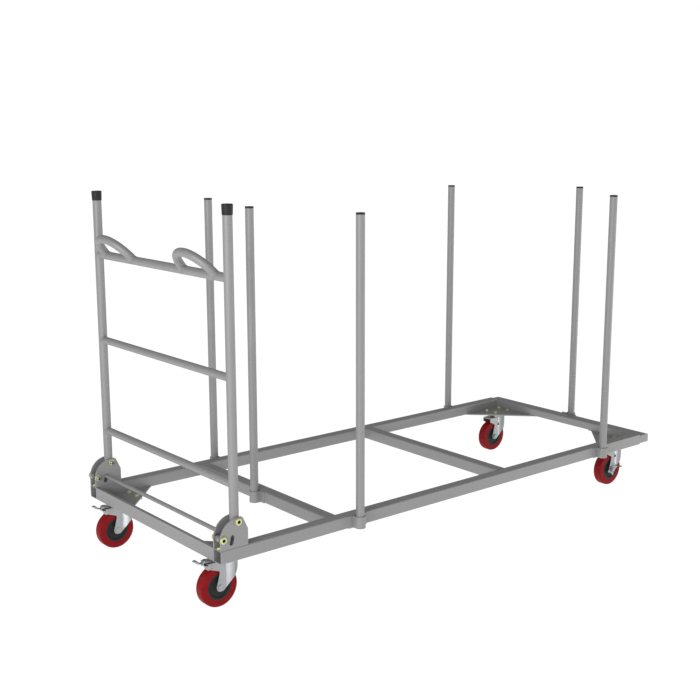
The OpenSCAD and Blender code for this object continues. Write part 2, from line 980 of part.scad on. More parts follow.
module front_right_fork() {
    color(bright_zinc) at_caster(front_axle_x, right) front_fork();
}

module front_right_tyre() {
    color(red_tyre) at_caster(front_axle_x, right) tyre();
}

module front_right_core() {
    color(charcoal) at_caster(front_axle_x, right) core();
}

module front_right_axle() {
    color(bright_zinc) at_caster(front_axle_x, right) front_axle_pin();
}

module front_right_brake() {
    color(bright_zinc) at_caster(front_axle_x, right) top_pedal();
}

module rear_left_fork() {
    color(bright_zinc) at_caster(rear_axle_x, left) rear_fork();
}

module rear_left_tyre() {
    color(red_tyre) at_caster(rear_axle_x, left) tyre();
}

module rear_left_core() {
    color(charcoal) at_caster(rear_axle_x, left) core();
}

module rear_left_axle() {
    color(bright_zinc) at_caster(rear_axle_x, left) rear_axle_bolt();
}

module rear_left_brake() {
    color(bright_zinc) at_caster(rear_axle_x, left) side_lever();
}

module rear_right_fork() {
    color(bright_zinc) at_caster(rear_axle_x, right) rear_fork();
}

module rear_right_tyre() {
    color(red_tyre) at_caster(rear_axle_x, right) tyre();
}

module rear_right_core() {
    color(charcoal) at_caster(rear_axle_x, right) core();
}

module rear_right_axle() {
    color(bright_zinc) at_caster(rear_axle_x, right) rear_axle_bolt();
}

module rear_right_brake() {
    color(bright_zinc) at_caster(rear_axle_x, right) side_lever();
}

left_rail();
right_rail();
front_channel();
deck_front_tube();
deck_middle_tube();
end_tube();
caster_gussets();
left_bracket();
right_bracket();
hinge_bolts();
stop_bolts();
post_sockets();
caster_plates();
caster_bolts();
left_upright();
right_upright();
top_bar();
middle_bar();
lower_bar();
left_grip();
right_grip();
handle_caps();
pivot_bushes();
release_bar();
left_pawl();
right_pawl();
return_springs();
front_left_post();
front_left_post_cap();
front_right_post();
front_right_post_cap();
rear_left_post();
rear_left_post_cap();
rear_right_post();
rear_right_post_cap();
handle_end_post();
handle_end_post_cap();
far_end_post();
far_end_post_cap();
front_left_fork();
front_left_tyre();
front_left_core();
front_left_axle();
front_left_brake();
front_right_fork();
front_right_tyre();
front_right_core();
front_right_axle();
front_right_brake();
rear_left_fork();
rear_left_tyre();
rear_left_core();
rear_left_axle();
rear_left_brake();
rear_right_fork();
rear_right_tyre();
rear_right_core();
rear_right_axle();
rear_right_brake();
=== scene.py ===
"""Dress the banquet table trolley: painted steel, plated casters, welds, fasteners and a pale studio."""

import json
import math

import bmesh
import bpy
from bpy.props import FloatProperty, FloatVectorProperty, IntProperty, PointerProperty
from mathutils import Matrix, Vector


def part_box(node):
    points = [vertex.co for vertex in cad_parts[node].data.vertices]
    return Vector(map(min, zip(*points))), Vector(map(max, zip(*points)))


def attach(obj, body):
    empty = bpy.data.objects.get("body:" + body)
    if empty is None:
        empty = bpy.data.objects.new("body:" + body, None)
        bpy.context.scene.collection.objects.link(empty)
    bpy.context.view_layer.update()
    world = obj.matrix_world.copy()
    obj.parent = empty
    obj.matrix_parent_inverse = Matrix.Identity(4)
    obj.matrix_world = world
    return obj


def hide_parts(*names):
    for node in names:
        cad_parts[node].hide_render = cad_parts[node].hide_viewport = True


bl_info = {
    "name": "Banquet table trolley",
    "version": (1, 0, 0),
    "blender": (4, 5, 0),
    "location": "3D View > Sidebar > Trolley",
    "description": "Finishes, welds, fasteners, casters and studio for a banquet table trolley",
    "category": "Object",
}

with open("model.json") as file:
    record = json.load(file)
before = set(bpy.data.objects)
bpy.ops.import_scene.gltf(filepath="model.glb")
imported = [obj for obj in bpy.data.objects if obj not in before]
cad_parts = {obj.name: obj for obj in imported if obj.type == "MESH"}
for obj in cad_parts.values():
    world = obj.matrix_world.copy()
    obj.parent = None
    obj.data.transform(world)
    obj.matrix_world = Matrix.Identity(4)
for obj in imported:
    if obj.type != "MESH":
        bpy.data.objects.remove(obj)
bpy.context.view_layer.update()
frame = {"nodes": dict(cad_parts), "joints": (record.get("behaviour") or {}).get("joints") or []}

# The side's sign is the sign of Y there
SIDES = {"left": 1, "right": -1}
CASTERS = ("front_left", "front_right", "rear_left", "rear_right")
POSTS = (*CASTERS, "handle_end", "far_end")
MM = 0.001
# Corners closer than this are one: in the meshes made here, and in the CAD's
HAIR, CAD_HAIR = 1e-7, 2e-6
# CAD faces that turn less than this are one flat, and edges that turn more than this are sharp
FLAT, SHARP = math.radians(0.3), math.radians(35)
WELD_SEED = 7
# A hinge bolt's head under its socket, the round on its rim and the chamfer on its tail
SOCKET_FLOOR, HEAD_ROUND, TAIL_BEVEL = 1 * MM, 1.6 * MM, 1.5 * MM
# Its nut: how far its rim is in from the head's, the round there and the chamfer at its bore
NUT_STEP, NUT_ROUND, NUT_BEVEL = 1 * MM, 0.8 * MM, 0.6 * MM
# A stop or caster bolt's radius, its head across the flats and in height; a caster bolt's nut and tail
HEX_SHANK, HEX_FLATS, HEX_HEAD, HEX_NUT, HEX_TAIL = 4 * MM, 13 * MM, 5.5 * MM, 6.5 * MM, 1 * MM
# A cap's wall, and a handle cap's narrowing at its foot and widening at its top
CAP_WALL, CAP_DRAW, CAP_FLARE = 2 * MM, 0.9 * MM, 0.3 * MM
# A post cap above its post in the solid, its extra height, its skirt's depth and reach, its top's round
LID_HEIGHT, LID_RISE, LID_SKIRT, LID_LIP, LID_ROUND = 3 * MM, 1.3 * MM, 1 * MM, 0.4 * MM, 1.2 * MM
# The round at a tread's edge and the place of its mould lines; the tyre's bore, the core's, half its web
TREAD_ROUND, TREAD_LINE, TYRE_BORE, AXLE_BORE, CORE_WEB = 5 * MM, 5 * MM, 40 * MM, 5.05 * MM, 12 * MM
# Turns of a fork's sides: where the flat ends, and upwards
FORK_CREASE, FORK_DRAFT = math.radians(9), math.radians(13)
# From a seam's end to its weld bead, and the thickness of a bracket's plate
WELD_GAP, BRACKET_PLATE = 4 * MM, 5 * MM
# The camera sensor's width in millimetres, and half the floor's width in metres
SENSOR, FLOOR_REACH = 36, 14
# Width, height, place and aim of each light
LIGHTS = {
    "key": (3.0, 2.2, (-5.0, -2.1, 1.9), (-0.6, 0, 0.4)),
    "fill": (4.6, 1.5, (-0.1, -2.7, 0.75), (-0.1, 0, 0.45)),
    "rim": (2.4, 0.22, (3.8, -2.6, 0.2), (-0.9, -0.33, 0.1)),
}


def mm(name, description, size):
    """A length property; its default is given in millimetres."""
    return FloatProperty(name=name, description=description, default=size * MM, unit="LENGTH")


def deg(name, description, degrees):
    return FloatProperty(name=name, description=description, default=math.radians(degrees), unit="ROTATION")


def colour(name, description, *default):
    return FloatVectorProperty(
        name=name, description=description, default=default, subtype="COLOR", min=0, max=1
    )


def amount(name, description, default):
    return FloatProperty(name=name, description=description, default=default, min=0)


class TrolleySizes(bpy.types.PropertyGroup):
    """Sizes of the finishing details"""

    sheet_edge: mm("Sheet edge", "Radius on the cut edges of painted plate and tube", 0.6)
    pressed_edge: mm("Pressed edge", "Radius on the edges of the pressed caster parts", 0.9)
    bolt_edge: mm("Bolt edge", "Radius on the edges of bars, pins and posts", 0.4)
    weld_width: mm("Weld width", "Width of a weld bead", 3.2)
    weld_pitch: mm("Weld pitch", "Distance between weld ripples", 2.2)
    bolt_shank: mm("Hinge bolt", "Radius of a hinge bolt's shank", 6)
    bolt_socket: mm("Bolt socket", "Across the flats of a hinge bolt's socket", 10)
    nut_height: mm("Nut height", "Height of a hinge bolt's nut", 4)
    bolt_tail: mm("Bolt tail", "Length of a hinge bolt past its nut", 7)
    plate_pitch: FloatVectorProperty(
        name="Plate pitch", description="Between a caster plate's bolts, along and across",
        default=(75 * MM, 50 * MM), size=2, unit="LENGTH",
    )
    grip_tube: mm("Grip tube", "Diameter of a loop grip's tube", 26)
    spring_wire: mm("Spring wire", "Diameter of a return spring's wire", 1.2)
    spring_turns: FloatProperty(name="Spring turns", description="Turns of a return spring", default=2.75)
    cap_round: mm("Cap round", "Round on the top of a handle cap", 2.6)
    fork_flat: mm("Fork flat", "Flat of a fork's leg behind the axle", 19)
    fork_lean: deg("Fork lean", "Turn of a fork's side where its round back begins", 28)
    tread_groove: mm("Tread groove", "Depth of the fine mould lines on the tread", 0.3)
    wheel_steps: IntProperty(name="Wheel steps", description="Steps round a tyre", default=128, min=32, max=256)


class TrolleyColours(bpy.types.PropertyGroup):
    """Colours of the finishes"""

    paint: colour("Paint", "Silver-grey powder coat", 0.27, 0.27, 0.272)
    steel: colour("Steel", "Bare steel where the coat is rubbed", 0.42, 0.41, 0.4)
    zinc: colour("Bright zinc", "Bright zinc plate", 0.36, 0.362, 0.366)
    yellow: colour("Yellow zinc", "Yellow passivated zinc plate", 0.6, 0.62, 0.29)
    rose: colour("Rose zinc", "Rosy drift in the yellow plate", 0.74, 0.56, 0.28)
    # Near black for painted shade in bolt sockets and on the end faces of bolt tails
    grime: colour("Grime", "Dirt in bolt sockets and on bolt ends", 0.022, 0.022, 0.03)
    tyre: colour("Tyre", "Red cast polyurethane", 0.22, 0.006, 0.009)
    dust: colour("Tread dust", "Dusty scuffs on the tread", 0.34, 0.09, 0.085)
    core: colour("Wheel core", "Charcoal nylon", 0.013, 0.016, 0.0155)
    cap: colour("Cap", "Black moulded plastic", 0.013, 0.013, 0.015)
    wire: colour("Spring wire", "Drawn spring wire", 0.16, 0.16, 0.17)
    oil: colour("Oil", "Brown oil on the spring wire", 0.2, 0.16, 0.12)


class TrolleyStudio(bpy.types.PropertyGroup):
    """The camera, the lights and the floor"""

    eye: FloatVectorProperty(
        name="Eye", description="Place of the camera", default=(-2.64827, -2.98363, 1.39572),
        subtype="TRANSLATION", unit="LENGTH",
    )
    pan: deg("Pan", "Turn of the camera about the upright", -39.329)
    tilt: deg("Tilt", "Camera's angle up from straight down", 78.467)
    roll: deg("Roll", "Turn about the line of sight", -0.112)
    lens: amount("Lens", "Focal length in millimetres", 59.15)
    shift: FloatVectorProperty(
        name="Shift", description="Lens shift across and up", default=(0.00658, 0.00418), size=2
    )
    floor: amount("Floor", "Grey of the pale floor", 0.2)
    glow: amount("Floor glow", "Light from the floor itself", 0.96)
    room: amount("Room light", "Strength of the light from all round", 0.28)
    sheen: amount("Room in metal", "Brightness of the room in reflections", 0.42)
    backdrop: amount("Backdrop", "Brightness of the room to the camera", 1.02)
    key: amount("Key light", "Power of the soft light at the handle end", 150)
    fill: amount("Fill light", "Power of the low, wide light along the right side", 9)
    rim: amount("Rim light", "Power of the low light at the far right", 36)


class Wire:
    """One output of a node; sums on it add Math nodes to its tree."""

    def __init__(self, tree, socket):
        self.tree = tree
        self.socket = socket

    def __getitem__(self, name):
        """Another output of the same node."""
        return Wire(self.tree, self.socket.node.outputs[name])

    def _sum(self, operation, first, second):
        return self.tree.node("ShaderNodeMath", {0: first, 1: second}, operation=operation)

    def __add__(self, other):
        return self._sum("ADD", self, other)

    __radd__ = __add__

    def __sub__(self, other):
        return self._sum("SUBTRACT", self, other)

    def __rsub__(self, other):
        return self._sum("SUBTRACT", other, self)

    def __mul__(self, other):
        return self._sum("MULTIPLY", self, other)

    __rmul__ = __mul__


class Tree:
    """A node tree; every node in it comes from node()."""

    def __init__(self, tree):
        self.tree = tree

    def node(self, kind, inputs=None, output=0, **settings):
        made = self.tree.nodes.new(kind)
        for key, value in settings.items():
            setattr(made, key, value)
        for key, value in (inputs or {}).items():
            socket = self._find(made.inputs, key)
            for item in value if isinstance(value, list) else [value]:
                if isinstance(item, Wire):
                    self.tree.links.new(item.socket, socket)
                else:
                    socket.default_value = item
        return Wire(self, self._find(made.outputs, output)) if made.outputs else None

    @staticmethod
    def _find(sockets, key):
        """A socket by its number, its identifier or its name."""
        return next((socket for socket in sockets if socket.identifier == key), None) or sockets[key]


class Finish(Tree):
    """A surface finish with its pattern on Object coordinates."""

    def __init__(self, name):
        self.material = bpy.data.materials.new(name)
        self.material.use_nodes = True
        super().__init__(self.material.node_tree)
        self.tree.nodes.clear()
        self.place = self.node("ShaderNodeTexCoord", output="Object")

    def grain(self, scale, detail=2.0, stretch=None):
        where = self.place
        if stretch:
            where = self.node("ShaderNodeMapping", {"Vector": where, "Scale": stretch})
        inputs = {"Vector": where, "Scale": scale, "Detail": detail}
        return self.node("ShaderNodeTexNoise", inputs, "Fac")

    def between(self, value, low, high):
        return self.node("ShaderNodeMapRange", {"Value": value, "From Min": low, "From Max": high})

    def blend(self, share, first, second):
        inputs = {"Factor_Float": share, "A_Color": first, "B_Color": second}
        return self.node("ShaderNodeMix", inputs, "Result_Color", data_type="RGBA")

    def mark(self, name):
        return self.node("ShaderNodeAttribute", output="Fac", attribute_name=name)

    def close(self, height, depth, strength, **surface):
        inputs = {key.replace("_", " ").title().replace("Ior", "IOR"): value for key, value in surface.items()}
        bump = {"Height": height, "Distance": depth, "Strength": strength}
        inputs["Normal"] = self.node("ShaderNodeBump", bump)
        whole = self.node("ShaderNodeBsdfPrincipled", inputs)
        self.node("ShaderNodeOutputMaterial", {"Surface": whole})
        return self.material


def shade(tint, factor=1.0):
    """A colour made darker or paler, with its alpha."""
    return (*(min(1.0, part * factor) for part in tint), 1)


def silver_paint(colours):
    """Satin powder coat: cloudy silver, orange peel, bare steel where an edge is rubbed, and painted shade
    inside tubes.
    """
    f = Finish("silver_paint")
    cloud = f.grain(5, detail=3)
    fleck = f.between(f.grain(2400, detail=1), low=0.45, high=0.75)
    rubbed = f.mark("edge") * f.between(f.grain(42, detail=4), low=0.58, high=0.68)
    # Painted shade, with the uncoated inside: faces inside tubes turn darker, rougher and less metallic
    inside = f.mark("inside")
    coat = f.blend(cloud, shade(colours.paint, 0.95), shade(colours.paint, 1.05))
    coat = f.blend(fleck * 0.3, coat, shade(colours.paint, 1.25))
    coat = f.blend(rubbed * 0.4, coat, shade(colours.steel))
    return f.close(
        f.grain(520), depth=0.12 * MM, strength=0.35,
        base_color=f.blend(inside, coat, shade(colours.paint, 0.9)),
        metallic=0.18 + rubbed * 0.3 - inside * 0.1,
        roughness=0.45 + cloud * 0.1 - rubbed * 0.08 + inside * 0.2,
    )


def zinc_plate(colours):
    """Bright zinc plate: faint drawn lines, cloudy dull spots, a bluish cast and painted shade on bolt ends."""
    f = Finish("zinc_plate")
    drawn = f.grain(60, detail=3, stretch=(1, 1, 14))
    dull = f.between(f.grain(38, detail=4), low=0.5, high=0.72)
    # Painted shade: the marked bolt ends turn near black, duller and not metallic
    grime = f.mark("grime") * 0.82
    bluish = Vector(colours.zinc) * 1.04 + Vector((0, 0.005, 0.02))
    plate = f.blend(f.grain(11), shade(colours.zinc, 0.96), shade(bluish))
    plate = f.blend(dull * 0.35, plate, shade(colours.zinc, 0.72))
    return f.close(
        drawn, depth=0.05 * MM, strength=0.3,
        base_color=f.blend(grime, plate, shade(colours.grime)),
        metallic=0.7 - grime * 0.7,
        roughness=0.26 + drawn * 0.08 + dull * 0.12 + grime * 0.3,
        specular_ior_level=0.3,
    )


def straw_zinc(colours):
    """Yellow passivated zinc: straw gold that drifts to rose, with painted shade in the sockets."""
    f = Finish("straw_zinc")
    drift = f.grain(120, detail=3)
    fine = f.grain(900)
    # Painted shade: the marked sockets turn near black, duller and not metallic
    grime = f.mark("grime")
    gold = f.between(drift, low=0.35, high=0.55)
    straw = f.blend(gold, shade(colours.yellow, 1.12), shade(colours.yellow))
    rosy = f.blend(f.between(drift, low=0.55, high=0.8) * 0.6, straw, shade(colours.rose))
    return f.close(
        fine, depth=0.04 * MM, strength=0.3,
        base_color=f.blend(grime, rosy, shade(colours.grime)),
        metallic=0.6 - grime * 0.6,
        roughness=0.32 + fine * 0.14 + grime * 0.3,
        specular_ior_level=0.15,
    )


def red_tyre(colours):
    """Cast polyurethane: deep red, a little cloudy, with a dusty scuffed tread."""
    f = Finish("red_tyre")
    cloud = f.grain(30, detail=3)
    scuff = f.mark("tread") * f.between(f.grain(140, detail=4, stretch=(1, 0.35, 1)), low=0.5, high=0.75)
    body = f.blend(cloud, shade(colours.tyre, 0.86), shade(colours.tyre, 1.12))
    return f.close(
        f.grain(1300) + scuff * 0.6, depth=0.08 * MM, strength=0.4,
        base_color=f.blend(scuff * 0.22, body, shade(colours.dust)),
        roughness=0.42 + cloud * 0.08 + scuff * 0.3,
        specular_ior_level=0.08,
    )


def charcoal_nylon(colours):
    """Moulded nylon: greenish charcoal with a fine spark-eroded grain."""
    f = Finish("charcoal_nylon")
    fine = f.grain(1600)
    return f.close(
        fine, depth=0.1 * MM, strength=0.5,
        base_color=f.blend(f.grain(45, detail=3), shade(colours.core, 0.8), shade(colours.core, 1.3)),
        roughness=0.5 + fine * 0.18,
        specular_ior_level=0.25,
    )


def black_plastic(colours):
    """Black moulded plastic with a leathery grain."""
    f = Finish("black_plastic")
    leather = f.node("ShaderNodeTexVoronoi", {"Vector": f.place, "Scale": 1100.0}, output="Distance")
    cloud = f.grain(60, detail=3)
    return f.close(
        leather, depth=0.12 * MM, strength=0.4,
        base_color=f.blend(cloud, shade(colours.cap, 0.8), shade(colours.cap, 1.35)),
        roughness=0.45 + cloud * 0.16,
        specular_ior_level=0.3,
    )


def spring_wire(colours):
    """Oiled spring wire: dark, drawn, with a little brown."""
    f = Finish("spring_wire")
    drift = f.grain(300, detail=3)
    return f.close(
        drift, depth=0.03 * MM, strength=0.3,
        base_color=f.blend(drift, shade(colours.wire), shade(colours.oil)),
        metallic=1.0,
        roughness=0.3 + drift * 0.15,
    )


FINISHES = {
    "paint": silver_paint,
    "bright_zinc": zinc_plate,
    "yellow_zinc": straw_zinc,
    "tyre": red_tyre,
    "core": charcoal_nylon,
    "cap": black_plastic,
    "spring_steel": spring_wire,
}
ENDINGS = {"paint": "_painted", "bright_zinc": "_plated"}


def finish(slot):
    """The finish for a material slot, made the first time it is asked for."""
    make = FINISHES[slot]
    return bpy.data.materials.get(make.__name__) or make(bpy.context.scene.trolley_colours)


def linked(name, data):
    """A new object in the scene."""
    made = bpy.data.objects.new(name, data)
    bpy.context.scene.collection.objects.link(made)
    return made


def as_mesh(name, bm, recalc=True):
    """A mesh from a bmesh, which is used up."""
    if recalc:
        bmesh.ops.remove_doubles(bm, verts=bm.verts, dist=HAIR)
        bmesh.ops.recalc_face_normals(bm, faces=bm.faces)
    mesh = bpy.data.meshes.new(name)
    bm.to_mesh(mesh)
    bm.free()
    return mesh


def merged(node):
    """A copy of a CAD node with its loose triangles joined and its flats made whole."""
    bm = bmesh.new()
    bm.from_mesh(frame["nodes"][node].data)
    bmesh.ops.remove_doubles(bm, verts=bm.verts, dist=CAD_HAIR)
    bmesh.ops.dissolve_limit(bm, angle_limit=FLAT, verts=bm.verts, edges=bm.edges)
    return bm


def marked(faces, mark):
    """Set a mark on every corner of some faces, for a finish to read."""
    for face in faces:
        for loop in face.loops:
            loop[mark] = 1.0


def eased(bm, radius):
    """Round the sharp edges and mark the rounds, so that a finish can rub them."""
    mark = bm.loops.layers.float.new("edge")
    sharp = [e for e in bm.edges if len(e.link_faces) == 2 and e.calc_face_angle(0) > SHARP]
    made = bmesh.ops.bevel(
        bm, geom=sharp, offset=radius, offset_type="OFFSET", segments=2, profile=0.5, affect="EDGES",
        clamp_overlap=False,
    )
    marked(made["faces"], mark)
    return bm


def hollowed(bm, along):
    """Mark the faces inside a tube, which the coat doesn't reach and where shade is painted; along is the tube's
    axis, 0 to 2.
    """
    inset = 1 * MM
    mark = bm.loops.layers.float.new("inside")
    sides = [k for k in range(3) if k != along]
    low = [min(v.co[k] for v in bm.verts) for k in range(3)]
    high = [max(v.co[k] for v in bm.verts) for k in range(3)]
    for face in bm.faces:
        spot = face.calc_center_median()
        within = all(low[k] + inset < spot[k] < high[k] - inset for k in sides)
        if within and abs(face.normal[along]) < 0.5:
            marked([face], mark)
    return bm


def scored(bm, places):
    """Cut a mesh across X at each place, so that its shading can change there."""
    for x in places:
        geom = bm.verts[:] + bm.edges[:] + bm.faces[:]
        bmesh.ops.bisect_plane(bm, geom=geom, dist=HAIR, plane_co=(x, 0, 0), plane_no=(1, 0, 0))
    return bm


def rolled(piece, start, back, sizes):
    """Lean the normals of a fork's outer sides, which roll from the flat legs into the round back.

    The draft turns them up a little, as the sides of a drawn pressing spread downwards.
    """
    crease, lean, upward = FORK_CREASE, sizes.fork_lean, math.sin(FORK_DRAFT)
    upright = 0.9
    mesh = piece.data
    low, high = min(v.co.y for v in mesh.vertices), max(v.co.y for v in mesh.vertices)
    normals = [Vector(corner.vector) for corner in mesh.corner_normals]
    for face in mesh.polygons:
        if face.center.x < start:
            continue
        for index in face.loop_indices:
            normal = normals[index]
            spot = mesh.vertices[mesh.loops[index].vertex_index].co
            level = math.hypot(normal.x, normal.y)
            outward = normal.y * (spot.y - (low + high) / 2) + normal.x * max(0, spot.x - back)
            if level < upright or outward <= 0:
                continue
            share = min(1, (spot.x - start) / (back - start))
            turn = math.atan2(normal.x, abs(normal.y))
            turn += (crease + (lean - crease) * share) * (1 - turn / (math.pi / 2))
            rise = normal.z + upward * math.cos(turn)
            across = math.copysign(level * math.cos(turn), normal.y)
            normals[index] = Vector((level * math.sin(turn), across, rise)).normalized()
    mesh.normals_split_custom_set(normals)


def softened(points, steps=4):
    """A profile with its corners rounded: each point is (radius, height) or (radius, height, round)."""
    line = []
    for i, point in enumerate(points):
        here = Vector(point[:2])
        ease = point[2] if len(point) > 2 else 0
        if not ease or i in (0, len(points) - 1):
            line.append(here)
            continue
        before = (Vector(points[i - 1][:2]) - here).normalized()
        after = (Vector(points[i + 1][:2]) - here).normalized()
        half = before.angle(after) / 2
        reach = ease / math.tan(half)
        middle = here + (before + after).normalized() * (ease / math.sin(half))
        first = here + before * reach - middle
        turn = first.angle_signed(here + after * reach - middle)
        line.extend(middle + Matrix.Rotation(-turn * k / steps, 2) @ first for k in range(steps + 1))
    return line


def ring_step(start, end, level, depth, slope, ease):
    """The profile of a round groove in a flat side, or of a raised ring where its depth is negative."""
    floor = level - depth
    return (start, level, ease), (start + slope, floor, ease), (end - slope, floor, ease), (end, level, ease)


def both_faces(line):
    """A closed profile from its upper half, which starts and ends at the middle."""
    return line + [Vector((p[0], -p[1])) for p in reversed(line[1:-1])]


def round_angles(steps):
    return [2 * math.pi * k / steps for k in range(steps)]


def turned(bm, profile, place, steps=48, closed=False, tag=None):
    """Turn a profile about an axis: place carries its Z axis to where the piece is.

    A tag is a mark's name and a test on a corner of each of a face's two rings.
    """
    rings = []
    for radius, height in profile:
        if radius < HAIR:
            rings.append([bm.verts.new(place @ Vector((0, 0, height)))])
            continue
        spots = (Vector((radius * math.cos(a), radius * math.sin(a), height)) for a in round_angles(steps))
        rings.append([bm.verts.new(place @ spot) for spot in spots])
    pairs = list(zip(rings, rings[1:]))
    if closed:
        pairs.append((rings[-1], rings[0]))
    mark = bm.loops.layers.float.new(tag[0]) if tag else None
    for low, high in pairs:
        for k in range(steps):
            m = (k + 1) % steps
            corners = [low[k % len(low)], low[m % len(low)], high[m % len(high)], high[k % len(high)]]
            face = bm.faces.new(list(dict.fromkeys(corners)))
            if mark and tag[1](low[0], high[0]):
                marked([face], mark)
    return bm


def ringed(bm, height, reach, steps=48):
    """A level ring of corners; reach gives its radius at each angle."""
    return [
        bm.verts.new((reach(a) * math.cos(a), reach(a) * math.sin(a), height)) for a in round_angles(steps)
    ]


def bridged(bm, rings):
    """Faces between rings that have as many corners each."""
    for below, above in zip(rings, rings[1:]):
        for k in range(len(below)):
            m = (k + 1) % len(below)
            bm.faces.new((below[k], below[m], above[m], above[k]))
    bm.faces.new(rings[0])
    bm.faces.new(rings[-1])
    return bm


def hex_reach(flats, angle):
    """From a hexagon's middle to its outline at an angle."""
    return flats / 2 / math.cos((angle + math.pi / 6) % (math.pi / 3) - math.pi / 6)


def hexed(bm, flats, low, high, cut):
    """A hexagonal prism with its corners turned back by a chamfer of height cut at both ends."""
    def chamfered(angle):
        return flats / 2 * 0.99

    def whole(angle):
        return hex_reach(flats, angle)

    levels = ((low, chamfered), (low + cut, whole), (high - cut, whole), (high, chamfered))
    return bridged(bm, [ringed(bm, height, reach) for height, reach in levels])


def flanged(bm, flats, seat, top):
    """A hexagon head on a thin round flange, from its seat to its top."""
    chamfer, thick, lip, ease, wide = 0.8 * MM, 1.4 * MM, 0.5 * MM, 0.3 * MM, 0.64
    way = math.copysign(1, top - seat)
    hexed(bm, flats, min(seat, top), max(seat, top), chamfer)
    rim, rise = flats * wide, seat + way * thick
    profile = ((0, seat), (rim - ease, seat), (rim, seat + way * lip), (flats / 2, rise), (0, rise))
    return turned(bm, profile, Matrix(), 32)


def shank(bm, radius, low, high):
    """A plain shank with its lower end chamfered."""
    ease = radius / 6
    profile = ((0, low), (radius - ease, low), (radius, low + ease), (radius, high), (0, high))
    return turned(bm, profile, Matrix(), 24)


def socketed(bm, profile, flats, deep):
    """A turned head whose last ring opens into a hexagonal socket; both lie along Z."""
    # The socket's rim, walls and floor are marked for painted shade, darker towards its floor
    grime = bm.verts.layers.float.new("grime")
    rings = [ringed(bm, height, lambda angle: radius) for radius, height in profile]
    top, lip = profile[-1][1], 0.3 * MM
    for height, ease, darkness in ((top, 1.0, 0.2), (top - lip, 0.98, 0.9), (top - deep, 0.97, 1)):
        ring = ringed(bm, height, lambda angle: ease * hex_reach(flats, angle))
        for corner in ring:
            corner[grime] = darkness
        rings.append(ring)
    return bridged(bm, rings)


def settled(name, mesh, body, slot, replaced=()):
    """Give a finished mesh its finish, its body and the CAD nodes that it stands for."""
    mesh.name = name
    mesh.materials.clear()
    mesh.materials.append(finish(slot))
    piece = linked(name, mesh)
    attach(piece, body)
    if replaced:
        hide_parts(*replaced)
    return piece


def evaluated(name, mesh, kind, settings):
    """The plain mesh that one modifier makes from another."""
    holder = linked(name, mesh)
    modifier = holder.modifiers.new(name, kind)
    for key, value in settings.items():
        if kind == "NODES" and key != "node_group":
            modifier[key] = value
        else:
            setattr(modifier, key, value)
    bpy.context.view_layer.update()
    graph = bpy.context.evaluated_depsgraph_get()
    made = bpy.data.meshes.new_from_object(holder.evaluated_get(graph), depsgraph=graph)
    bpy.data.objects.remove(holder)
    return made


def dressed(name, bm, body, slot, replaced=(), recalc=False, corner=46):
    """Turn a bmesh into a finished piece, smooth with its flats kept flat."""
    mesh = as_mesh(name, bm, recalc)
    mesh.polygons.foreach_set("use_smooth", [True] * len(mesh.polygons))
    mesh.set_sharp_from_angle(angle=math.radians(corner))
    mesh = evaluated(name, mesh, "WEIGHTED_NORMAL", {"keep_sharp": True, "weight": 100})
    return settled(name, mesh, body, slot, replaced)


def coated(node, body, slot, edge):
    """A CAD node with its edges rounded, as a finished piece."""
    return dressed(node + ENDINGS[slot], eased(merged(node), edge), body, slot, (node,))


def joint_place(name):
    return Vector(next(j["pos_m"] for j in frame["joints"] if j["name"] == name))


def geometry_tree(name, **sockets):
    """An empty Geometry Nodes tree with named inputs and one mesh as its output."""
    group = bpy.data.node_groups.new(name, "GeometryNodeTree")
    for title, kind in sockets.items():
        group.interface.new_socket(name=title, in_out="INPUT", socket_type="NodeSocket" + kind)
    group.interface.new_socket(name="Mesh", in_out="OUTPUT", socket_type="NodeSocketGeometry")
    tree = Tree(group)
    return tree, tree.node("NodeGroupInput")


def close_tree(tree, source, wire):
    """End a tree in real faces with a finish."""
    real = tree.node("GeometryNodeRealizeInstances", {"Geometry": wire})
    smooth = tree.node("GeometryNodeSetShadeSmooth", {"Geometry": real})
    inputs = {"Geometry": smooth, "Material": source["Finish"]}
    tree.node("NodeGroupOutput", {"Mesh": tree.node("GeometryNodeSetMaterial", inputs)})
    return tree.tree


def weld_bead():
    """A tree for a bead of overlapping ripples along every seam."""
    thin, thick, overlap = 0.42, 0.54, 0.95
    tree, source = geometry_tree(
        "weld_bead", Seams="Geometry", Pitch="Float", Width="Float", Seed="Int", Finish="Material"
    )
    pitch = source["Pitch"]
    run = tree.node("GeometryNodeMeshToCurve", {"Mesh": source["Seams"]})
    dots = tree.node("GeometryNodeCurveToPoints", {"Curve": run, "Length": pitch}, "Points", mode="LENGTH")
    turn = tree.node("FunctionNodeAlignRotationToVector", {"Vector": dots["Tangent"]}, axis="Z")
    limits = {"Min_001": thin, "Max_001": thick, "Seed": source["Seed"]}
    spread = tree.node("FunctionNodeRandomValue", limits, "Value_001", data_type="FLOAT")
    across = source["Width"] * spread
    size = tree.node("ShaderNodeCombineXYZ", {"X": across, "Y": across, "Z": pitch * overlap})
    drop = tree.node("GeometryNodeMeshUVSphere", {"Segments": 8, "Rings": 5, "Radius": 1.0})
    inputs = {"Points": dots, "Instance": drop, "Rotation": turn, "Scale": size}
    return close_tree(tree, source, tree.node("GeometryNodeInstanceOnPoints", inputs))


def fasteners():
    """A tree for one fastener at every place, turned as the place says."""
    tree, source = geometry_tree("fasteners", Places="Geometry", Fastener="Object", Finish="Material")
    inputs = {"Object": source["Fastener"]}
    bolt = tree.node("GeometryNodeObjectInfo", inputs, output="Geometry")
    lie = tree.node("GeometryNodeInputNamedAttribute", {"Name": "turn"}, data_type="FLOAT_VECTOR")
    turn = tree.node("FunctionNodeEulerToRotation", {"Euler": lie})
    inputs = {"Points": source["Places"], "Instance": bolt, "Rotation": turn}
    return close_tree(tree, source, tree.node("GeometryNodeInstanceOnPoints", inputs))


